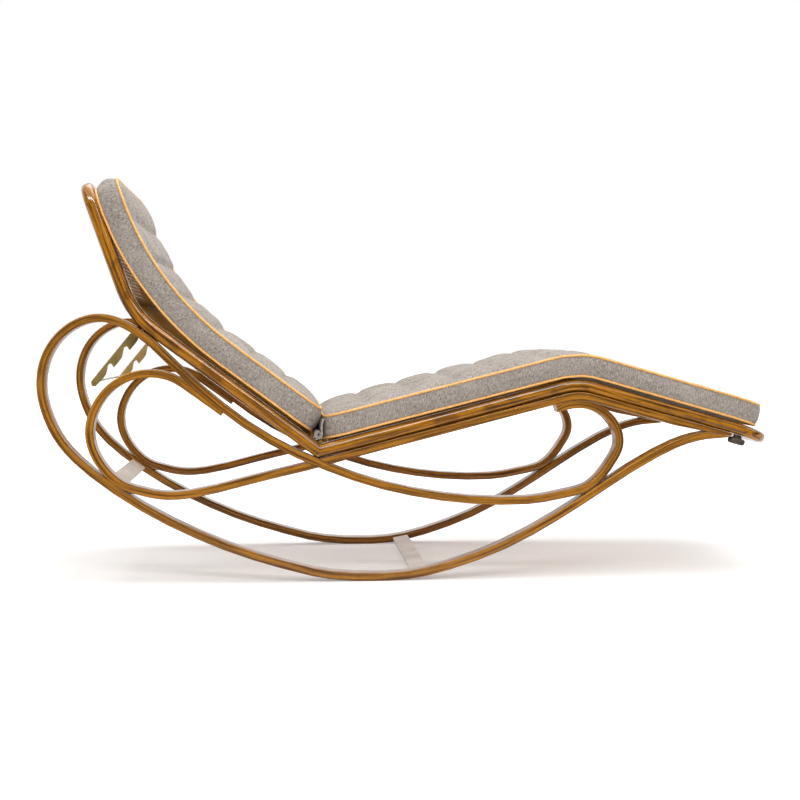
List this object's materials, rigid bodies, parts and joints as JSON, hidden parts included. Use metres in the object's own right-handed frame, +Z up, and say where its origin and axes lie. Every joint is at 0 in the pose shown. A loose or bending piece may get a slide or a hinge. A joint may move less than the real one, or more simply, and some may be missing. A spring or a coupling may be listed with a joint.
{
  "type": "rocking chaise lounge",
  "caption": "Rocking chaise lounge of bent laminated wood: looping rockers carry a cane seat frame and a back that tilts on notched racks, under tufted, piped cushions.",
  "frame": {"origin": "on the floor, below the middle of the whole chaise", "axes": "+X towards the foot end, +Y towards the far side, +Z up"},
  "size_m": [1.7622, 0.6, 0.946],
  "materials": {
    "strip_wood": "satin lacquer over laminated strips",
    "rail_wood": "gloss lacquer over bentwood",
    "cane": "woven cane",
    "brass": "aged, satin",
    "slat_metal": "satin, pale",
    "bolt_steel": "satin",
    "tweed": "woven tweed, piped seams",
    "rubber": "matte"
  },
  "bodies": {
    "base": {"rear_stretcher": "slat_metal", "front_stretcher": "slat_metal", "catch_rod": "brass", "runner_near": "strip_wood", "runner_far": "strip_wood", "scroll_near": "strip_wood", "scroll_far": "strip_wood", "bolt_foot_near": "bolt_steel", "bolt_foot_far": "bolt_steel", "bolt_loop_near": "bolt_steel", "bolt_loop_far": "bolt_steel", "bolt_rocker_near": "bolt_steel", "bolt_rocker_far": "bolt_steel", "bolt_curl_near": "bolt_steel", "bolt_curl_far": "bolt_steel", "bolt_rear_near": "bolt_steel", "bolt_rear_far": "bolt_steel", "seat_frame": "rail_wood", "seat_rear_rail": "rail_wood", "seat_knee_rail": "rail_wood", "seat_cane_rear": "cane", "seat_cane_front": "cane", "hinge_seat_leaf_near": "brass", "hinge_seat_leaf_far": "brass", "hinge_pin_near": "brass", "hinge_pin_far": "brass", "foot_bumper": "rubber", "seat_cushion": "tweed", "cushion_flap": "tweed"},
    "back": {"back_frame": "rail_wood", "back_bottom_rail": "rail_wood", "back_mid_rail": "rail_wood", "back_cane_lower": "cane", "back_cane_upper": "cane", "hinge_back_leaf_near": "brass", "hinge_back_leaf_far": "brass", "rack_screw_near": "brass", "rack_screw_far": "brass", "back_cushion": "tweed"},
    "rack_set": {"rack_near": "brass", "rack_far": "brass", "rack_tie_rod": "brass"}
  },
  "joints": [
    {"name": "back_recline", "type": "hinge", "parent": "base", "child": "back", "pos_m": [-0.22193, 0, 0.33401], "axis": [0, 1, 0], "range_deg": [0, 12.4]},
    {"name": "rack_swing", "type": "hinge", "parent": "back", "child": "rack_set", "pos_m": [-0.6314, 0, 0.6153], "axis": [0, 1, 0], "range_deg": [0, 30]}
  ]
}
